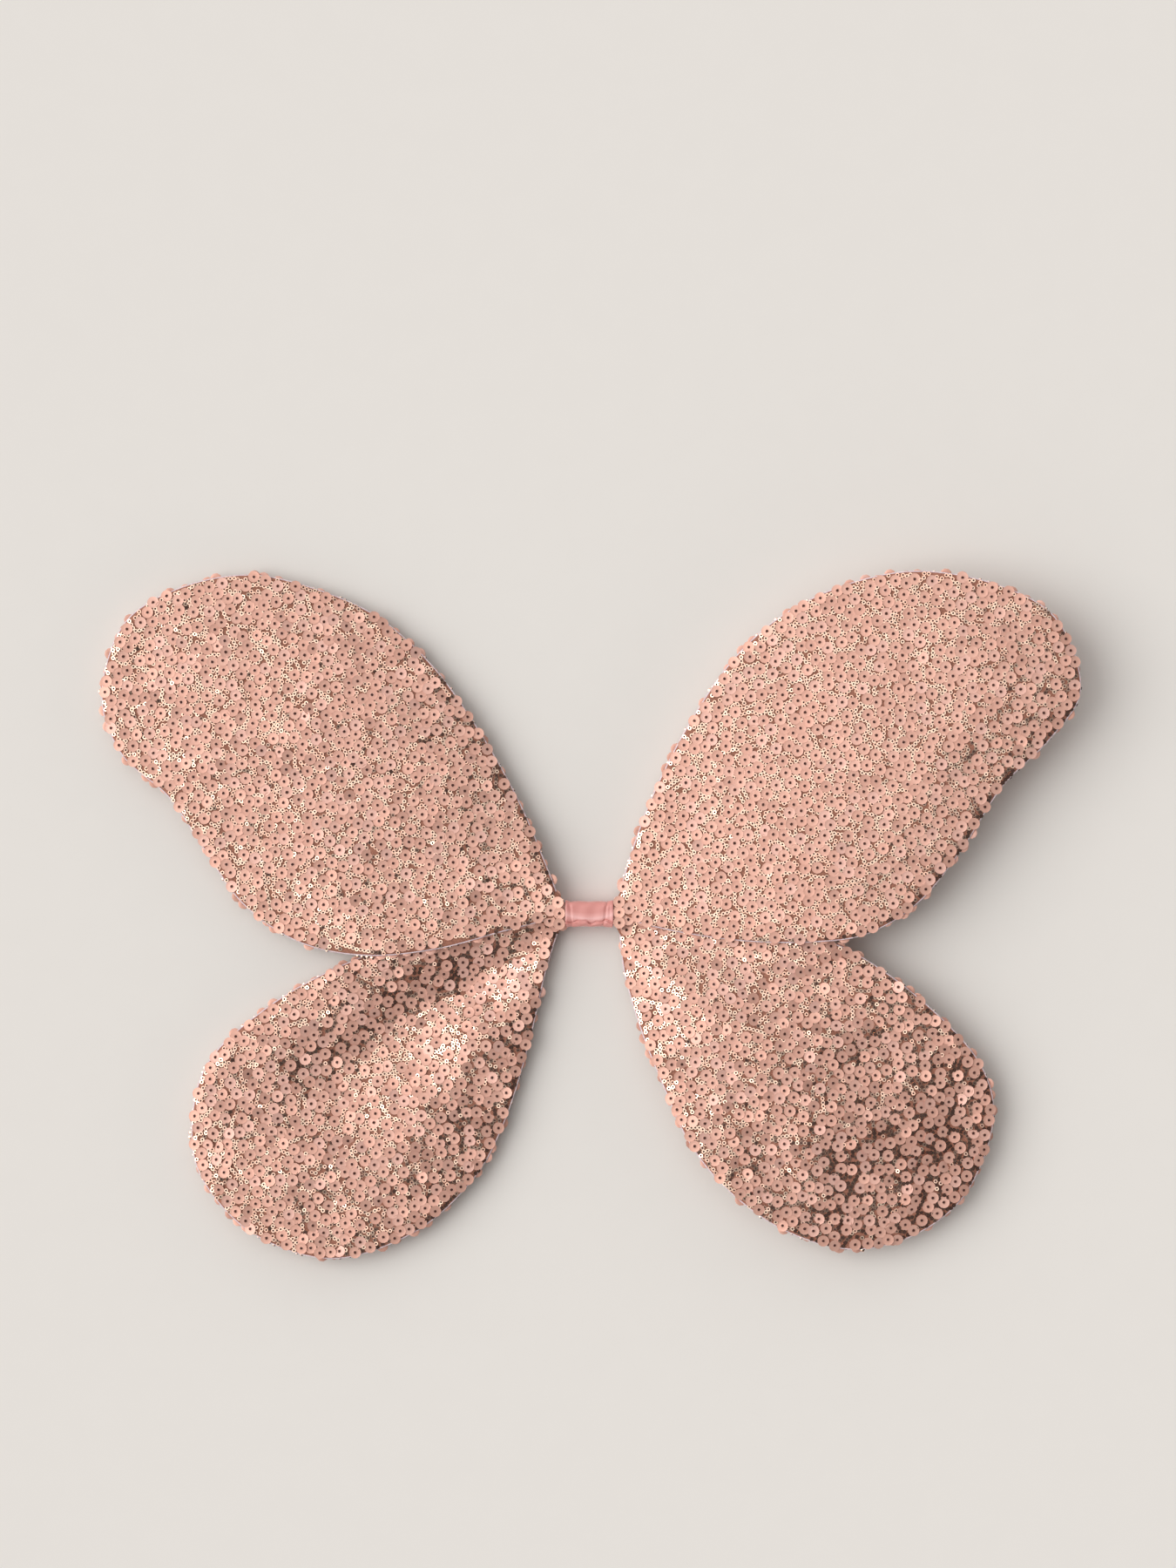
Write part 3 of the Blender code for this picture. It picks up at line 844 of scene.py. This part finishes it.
RIBBON_HALF_LENGTH = 11.0 * MM
RIBBON_LOW = (-5.6 * MM, 1.7 * MM)   # the band's lower rear corner: y from its middle, z
RIBBON_HIGH = (5.9 * MM, 14.9 * MM)
RIBBON_WALL = 0.45 * MM
RIBBON_ROWS = 57
FOLD_END = math.radians(235)         # where the loose end goes under the band
GATHER_START = 9.6 * MM              # the gathers begin this far from the band's middle
GATHER_LENGTH = 5.6 * MM
GATHER_INNER = np.array((-4.0, 4.4, 2.6, 14.0)) * MM   # their section's y and z ranges in the band
GATHER_OUTER = np.array((-7.6, 8.2, 4.4, 14.6)) * MM   # and at the lobes' roots
GATHER_WALL = 0.25 * MM
PLEATS = 20
STRAP_WIDTH = 7.0 * MM
STRAP_THICKNESS = 0.8 * MM
STRAP_POINTS = 360
STRAP_RIBS = 25
STRAP_ROUTE = [                      # millimetres from the band's middle; x is mirrored
    (-1.5, 0, 4.4), (-12.5, 0, 4.4), (-18.5, 2.4, 3.5), (-28, 8, 1.8), (-42, 17, 0.7),
    (-65, 27, 0.6), (-90, 29, 0.6), (-109, 18, 0.6), (-115, 2, 0.6), (-109, -11, 0.6),
    (-90, -19, 0.6), (-65, -20, 0.6), (-42, -14, 0.7), (-28, -7, 1.2), (-18.5, -2.4, 2.3),
    (-12.5, 0, 3.2), (-1.5, 0, 3.2),
]
PAINTED_SHEEN_Y = -1.3 * MM                  # the satin's painted highlight, a light crescent: its middle, in plan
PAINTED_SHEEN_CURVE = 2 * MM / RIBBON_HALF_LENGTH ** 2    # it climbs 2 mm to the band's ends
PAINTED_SHEEN_WIDTH = 3.4 * MM


def satin_finish():
    """Pink satin: fine threads, and a painted highlight, a light crescent along the band's front.
    """
    made = Finish("pink_satin_ribbon", (0.62, 0.22, 0.20), 0.36)
    threads = made.stretched_noise((2600.0, 160.0, 160.0))
    place = made.laid("ShaderNodeSeparateXYZ")
    square = made.math("MULTIPLY", (place, "X"), (place, "X"))
    rise = made.math("MULTIPLY", (square, "Value"), PAINTED_SHEEN_CURVE)
    across = made.math("SUBTRACT", (place, "Y"), (rise, "Value"))
    offset = made.math("SUBTRACT", (across, "Value"), PAINTED_SHEEN_Y)
    distance = made.math("ABSOLUTE", (offset, "Value"))
    painted_sheen = made.math("DIVIDE", (distance, "Value"), PAINTED_SHEEN_WIDTH)
    weave = made.math("MULTIPLY", (threads, "Fac"), 0.35)
    shade = made.math("ADD", (painted_sheen, "Value"), (weave, "Value"))
    # the ramp is lighter near the crescent: a painted highlight on the satin
    made.colors(shade, "Value", [
        (0.15, (0.93, 0.52, 0.50)), (0.45, (0.86, 0.42, 0.39)), (0.95, (0.74, 0.30, 0.27)),
    ])
    made.bump(threads, "Fac", 0.25, 0.0001)
    made.set("Sheen Weight", 0.35)
    made.set("Sheen Roughness", 0.35)
    made.set("Sheen Tint", (1.0, 0.72, 0.72, 1.0))
    made.set("Specular IOR Level", 0.6)
    return made.material


def braid_finish():
    """Pink braided elastic: fine crossing threads."""
    made = Finish("pink_braided_elastic", (0.72, 0.40, 0.38), 0.8)
    braid = made.laid("ShaderNodeTexWave", Scale=420.0, Distortion=1.5, Detail=1.0)
    braid.bands_direction = "DIAGONAL"
    made.colors(braid, "Fac", [(0.2, (0.62, 0.32, 0.30)), (0.8, (0.80, 0.48, 0.46))])
    made.bump(braid, "Fac", 0.6, 0.0002)
    return made.material


def rounded_square(angle, power):
    """A point of a square of half side 1 with round corners: rounder for a higher power."""
    cos, sin = math.cos(angle), math.sin(angle)
    return math.copysign(abs(cos) ** power, cos), math.copysign(abs(sin) ** power, sin)


def band_section(angle, shrink):
    """A point of the band's rounded section, measured from its middle, shrunk all round."""
    middle_y = (RIBBON_LOW[0] + RIBBON_HIGH[0]) / 2
    middle_z = (RIBBON_LOW[1] + RIBBON_HIGH[1]) / 2
    half_y = (RIBBON_HIGH[0] - RIBBON_LOW[0]) / 2 - shrink
    half_z = (RIBBON_HIGH[1] - RIBBON_LOW[1]) / 2 - shrink
    y, z = rounded_square(angle, 0.42)
    return middle_y + half_y * y, middle_z + half_z * z


def fold_line(share):
    """Where the loose end's wavy edge lies on the front, as an angle round the band."""
    wave = 0.10 * math.sin(6.5 * share + 0.4) + 0.05 * math.sin(15 * share)
    peak = 0.16 * math.exp(-((share - 0.05) / 0.12) ** 2)
    return math.radians(116) + wave + peak


def ribbon_relief(x, angle):
    """Depth of the satin's creases at a place on the band, in metres."""
    lengthways = x / RIBBON_HALF_LENGTH
    groove = 0.55 * MM * math.exp(-((angle - fold_line(lengthways) + 0.05) / 0.08) ** 2)
    waist = 0.22 * MM * (1 - lengthways ** 2)
    pucker = 0.10 * MM * math.sin(7 * angle + 3 * lengthways) * lengthways ** 2
    ripple = 0.09 * MM * math.sin(3.1 * angle + 9 * lengthways + 1.3)
    crease_at = 0.66 + 0.10 * math.sin(angle * 1.5 + 0.6)
    crease = 0.35 * MM * math.exp(-((lengthways - crease_at) / 0.05) ** 2)
    left_at = -0.78 - 0.05 * math.sin(2 * angle)
    left_crease = 0.25 * MM * math.exp(-((lengthways - left_at) / 0.05) ** 2)
    roll = 0.25 * MM * math.exp(-((abs(lengthways) - 0.95) / 0.05) ** 2)
    return waist + pucker + ripple + crease + left_crease + groove - roll


def make_ribbon(finish):
    """The satin band round the bridge: a soft tube with a waist, creases and rolled ends."""
    rows, columns = RIBBON_ROWS, 96
    shells = []
    for wall in (0.0, RIBBON_WALL):
        points = []
        for i in range(rows):
            x = RIBBON_HALF_LENGTH * (2 * i / (rows - 1) - 1)
            for k in range(columns):
                angle = 2 * math.pi * k / columns
                y, z = band_section(angle, ribbon_relief(x, angle) + wall)
                points.append((BAND[0] + x, BAND[1] + y, z))
        shells.append(points)
    faces = sleeve_faces(rows, columns)
    band = mesh_object("satin_ribbon_band", shells[0] + shells[1], faces, finish)
    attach(band, "bridge")
    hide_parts("ribbon_wrap")


def make_ribbon_end(finish):
    """The ribbon's loose end, laid over the band's lower side, with a wavy rolled edge."""
    rows, columns = RIBBON_ROWS, 40
    outer, inner = [], []
    for i in range(rows):
        share = 2 * i / (rows - 1) - 1
        x = (RIBBON_HALF_LENGTH - 0.35 * MM) * share
        start = fold_line(share)
        for k in range(columns):
            across = k / (columns - 1)
            angle = start + (FOLD_END - start) * across ** 1.25
            edge = min(across, 1 - across)
            rise = 0.42 * MM + 0.22 * MM * math.exp(-(edge / 0.03) ** 2)
            relief = ribbon_relief(x, angle)
            for shell, lift in ((outer, rise + 0.15 * MM), (inner, rise - 0.18 * MM)):
                y, z = band_section(angle, relief - lift)
                shell.append((BAND[0] + x, BAND[1] + y, z))
    total = rows * columns
    faces = grid_faces(rows, columns, round_columns=False)
    faces += [tuple(total + v for v in quad)
              for quad in grid_faces(rows, columns, round_columns=False, flip=True)]
    rim = list(range(columns))
    rim += [i * columns + columns - 1 for i in range(1, rows)]
    rim += [total - 1 - k for k in range(1, columns)]
    rim += [i * columns for i in range(rows - 2, 0, -1)]
    for a, b in zip(rim, rim[1:] + rim[:1]):
        faces.append((b, a, a + total, b + total))
    end = mesh_object("satin_ribbon_end", outer + inner, faces, finish)
    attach(end, "bridge")
    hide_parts("ribbon_end_fold")


def make_strap(name, side, finish):
    """An elastic tape with lengthways ribs and scalloped edges, lying in a flat loop."""
    route = [(-side * x * MM + BAND[0], y * MM + BAND[1], z * MM) for x, y, z in STRAP_ROUTE]
    points = smooth_curve(route, STRAP_POINTS)
    run = np.gradient(points, axis=0)
    run /= np.linalg.norm(run, axis=1)[:, None]
    wide = np.stack([run[:, 1], -run[:, 0], np.zeros(len(run))], axis=1)
    wide /= np.linalg.norm(wide, axis=1)[:, None]
    up = np.cross(wide, run)
    up *= np.sign(up[:, 2])[:, None]
    scallop = 1 + 0.018 * np.sin(np.arange(len(points)) * 2.4)
    top = []
    for k in range(STRAP_RIBS):
        across = 2 * k / (STRAP_RIBS - 1) - 1
        height = STRAP_THICKNESS / 2 * (0.86 + 0.14 * math.cos(across * 6 * math.pi))
        height *= math.sqrt(max(1 - abs(across) ** 8, 0.12))
        top.append((across, height))
    loop = top + [(across, -height) for across, height in reversed(top)]
    section = [points + wide * (across * STRAP_WIDTH / 2 * scallop)[:, None] + up * height
               for across, height in loop]
    vertices = np.stack(section, axis=1).reshape(-1, 3)
    faces = rod_faces(len(points), len(loop))
    tape = mesh_object(f"{name}_tape", vertices, faces, finish)
    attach(tape, "bridge")
    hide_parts(name)


def make_gather(name, side, finish):
    """The covers' gathered ends: a pleated sleeve from inside the ribbon to the lobes' roots."""
    rows, columns = 15, 120
    shells = []
    for wall in (0.0, GATHER_WALL):
        points = []
        for i in range(rows):
            out = i / (rows - 1)
            x = side * (GATHER_START + GATHER_LENGTH * out)
            low_y, high_y, low_z, high_z = (
                GATHER_INNER + (GATHER_OUTER - GATHER_INNER) * out ** 1.6)
            for k in range(columns):
                angle = 2 * math.pi * k / columns
                wave = math.sin(PLEATS * angle + 0.7 * math.sin(3 * angle))
                relief = 0.28 * MM * wave * (0.3 + out) - wall
                y, z = rounded_square(angle, 0.7)
                y = (low_y + high_y) / 2 + ((high_y - low_y) / 2 + relief) * y
                z = (low_z + high_z) / 2 + ((high_z - low_z) / 2 + relief) * z
                points.append((BAND[0] + x, BAND[1] + y, z))
        shells.append(points)
    faces = sleeve_faces(rows, columns, flip=side < 0)
    sleeve = mesh_object(f"{name}_root_gather", shells[0] + shells[1], faces, finish)
    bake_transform(sleeve)


def crimp_finish():
    """Satin aluminium sleeves with fine drawn lines."""
    made = Finish("satin_crimp", (0.60, 0.60, 0.62), 0.38, 1.0)
    drawn = made.stretched_noise((60.0, 3000.0, 3000.0))
    made.colors(drawn, "Fac", [(0.3, (0.52, 0.52, 0.54)), (0.7, (0.68, 0.68, 0.70))])
    made.bump(drawn, "Fac", 0.2, 0.00005)
    return made.material


def refinish(finishes):
    """Gives the CAD nodes that stay their materials."""
    for node, finish in finishes.items():
        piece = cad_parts[node]
        piece.data.materials.clear()
        piece.data.materials.append(finish)


def make_bridge():
    """The ribbon, the straps and the gathers, and the finishes of the hidden parts."""
    satin = satin_finish()
    make_ribbon(satin)
    make_ribbon_end(satin)
    elastic = braid_finish()
    make_strap("left_shoulder_strap", -1, elastic)
    make_strap("right_shoulder_strap", 1, elastic)
    gathered = gather_finish()
    make_gather("left", -1, gathered)
    make_gather("right", 1, gathered)
    wire = wire_finish()
    crimp = crimp_finish()
    finishes = {f"{lobe.name}_wire_loop": wire for lobe in LOBES}
    for level in ("upper", "lower"):
        finishes[f"{level}_front_bridge_wire"] = wire
        finishes[f"{level}_rear_bridge_wire"] = wire
        finishes[f"{level}_crimp"] = crimp
    finishes["core_pad"] = felt_finish()
    refinish(finishes)


# ---- Stage ----

VIEW_CENTRE = BAND + np.array((-0.6, 59.8)) * MM     # the camera is straight above it
FRAME_HEIGHT = 0.720                 # the picture's height on the wings' plane
CAMERA_HEIGHT = 1.9
SENSOR = 36.0                        # in millimetres
OBJECT_Z = 0.018                     # height of the wings' plane
FLOOR_HALF = 12.0
KEY_FROM = (-1.0, 0.12, 1.0)         # towards the left softbox
KEY_STRENGTH = 1.36
KEY_SPREAD = 50.0
DIM_SIDE = (0.85, -0.5, 0.0)         # towards the studio's dim side
DIM_FROM = -0.03                     # its shade begins and is full at these shares of that way
DIM_TO = 0.22
BRIGHT_SKY = 0.76                    # brightness of the bright side, of the dim one, of the walls
DIM_SKY = 0.04
HORIZON_SKY = 0.88
HORIZON_LOW = 0.22                   # the pale walls fade out between these heights of direction
HORIZON_HIGH = 0.55
TOP_FROM = (-0.17, 0.09, 0.98)       # towards the softbox above
TOP_EDGE = 0.766                     # cosine of the angle at which its glow ends
TOP_CORE = 0.966                     # and at which it is full
TOP_GLOW = 0.75


def soft_sun(name, strength, spread, towards, color):
    """A far softbox: its light comes from one direction, spread over an angle in degrees."""
    data = bpy.data.lights.new(name, "SUN")
    data.energy = strength
    data.angle = math.radians(spread)
    data.color = color
    lamp = bpy.data.objects.new(name, data)
    lamp.rotation_euler = Vector(towards).to_track_quat("Z", "Y").to_euler()
    bpy.context.scene.collection.objects.link(lamp)


def make_world():
    """A studio with pale walls and a glow overhead, which is dim on the right."""
    world = bpy.data.worlds.new("studio")
    world.use_nodes = True
    tree = world.node_tree
    where = tree.nodes.new("ShaderNodeTexCoord")

    def towards(direction):
        """How far each direction agrees with the given one, from -1 to 1."""
        made = tree.nodes.new("ShaderNodeVectorMath")
        made.operation = "DOT_PRODUCT"
        made.inputs[1].default_value = direction
        tree.links.new(where.outputs["Generated"], made.inputs[0])
        return made.outputs["Value"]

    def fade(value, *limits):
        """A smooth change of a value: from low, from high, to low, to high."""
        made = tree.nodes.new("ShaderNodeMapRange")
        made.interpolation_type = "SMOOTHSTEP"
        for socket, limit in zip(made.inputs[1:5], limits):
            socket.default_value = limit
        tree.links.new(value, made.inputs[0])
        return made.outputs["Result"]

    shade = fade(towards(DIM_SIDE), DIM_FROM, DIM_TO, BRIGHT_SKY, DIM_SKY)
    walls = fade(towards((0.0, 0.0, 1.0)), HORIZON_LOW, HORIZON_HIGH, 1.0, 0.0)
    mixed = tree.nodes.new("ShaderNodeMix")
    mixed.data_type = "FLOAT"
    tree.links.new(walls, mixed.inputs["Factor"])
    tree.links.new(shade, mixed.inputs["A"])
    mixed.inputs["B"].default_value = HORIZON_SKY
    glow = fade(towards(TOP_FROM), TOP_EDGE, TOP_CORE, 0.0, TOP_GLOW)
    lit = tree.nodes.new("ShaderNodeMath")
    lit.operation = "MULTIPLY_ADD"
    tree.links.new(glow, lit.inputs[0])
    tree.links.new(mixed.outputs["Result"], lit.inputs[1])
    tree.links.new(mixed.outputs["Result"], lit.inputs[2])
    backdrop = tree.nodes["Background"]
    backdrop.inputs["Color"].default_value = (1.0, 0.985, 0.965, 1.0)
    tree.links.new(lit.outputs["Value"], backdrop.inputs["Strength"])
    bpy.context.scene.world = world


def make_stage():
    """The camera straight above, the pale floor and the light."""
    scene = bpy.context.scene
    scene.view_settings.view_transform = "Standard"
    camera_data = bpy.data.cameras.new("camera")
    camera_data.sensor_width = SENSOR
    camera_data.lens = SENSOR * (CAMERA_HEIGHT - OBJECT_Z) / FRAME_HEIGHT
    camera = bpy.data.objects.new("camera", camera_data)
    camera.location = (*VIEW_CENTRE, CAMERA_HEIGHT)
    scene.collection.objects.link(camera)
    scene.camera = camera

    floor_finish = Finish("pale_floor", (0.836, 0.806, 0.777), 0.9)
    grain = floor_finish.noise(60.0)
    floor_finish.colors(grain, "Fac", [(0.3, (0.834, 0.804, 0.773)), (0.7, (0.840, 0.810, 0.779))])
    floor_finish.set("Specular IOR Level", 0.0)
    corners = [(x * FLOOR_HALF, y * FLOOR_HALF, 0) for x, y in ((-1, -1), (1, -1), (1, 1), (-1, 1))]
    floor = mesh_object("floor", corners, [(0, 1, 2, 3)], floor_finish.material)
    soft_sun("left_softbox", KEY_STRENGTH, KEY_SPREAD, KEY_FROM, (1.0, 0.985, 0.96))
    make_world()


make_lobes()
make_bridge()
make_stage()
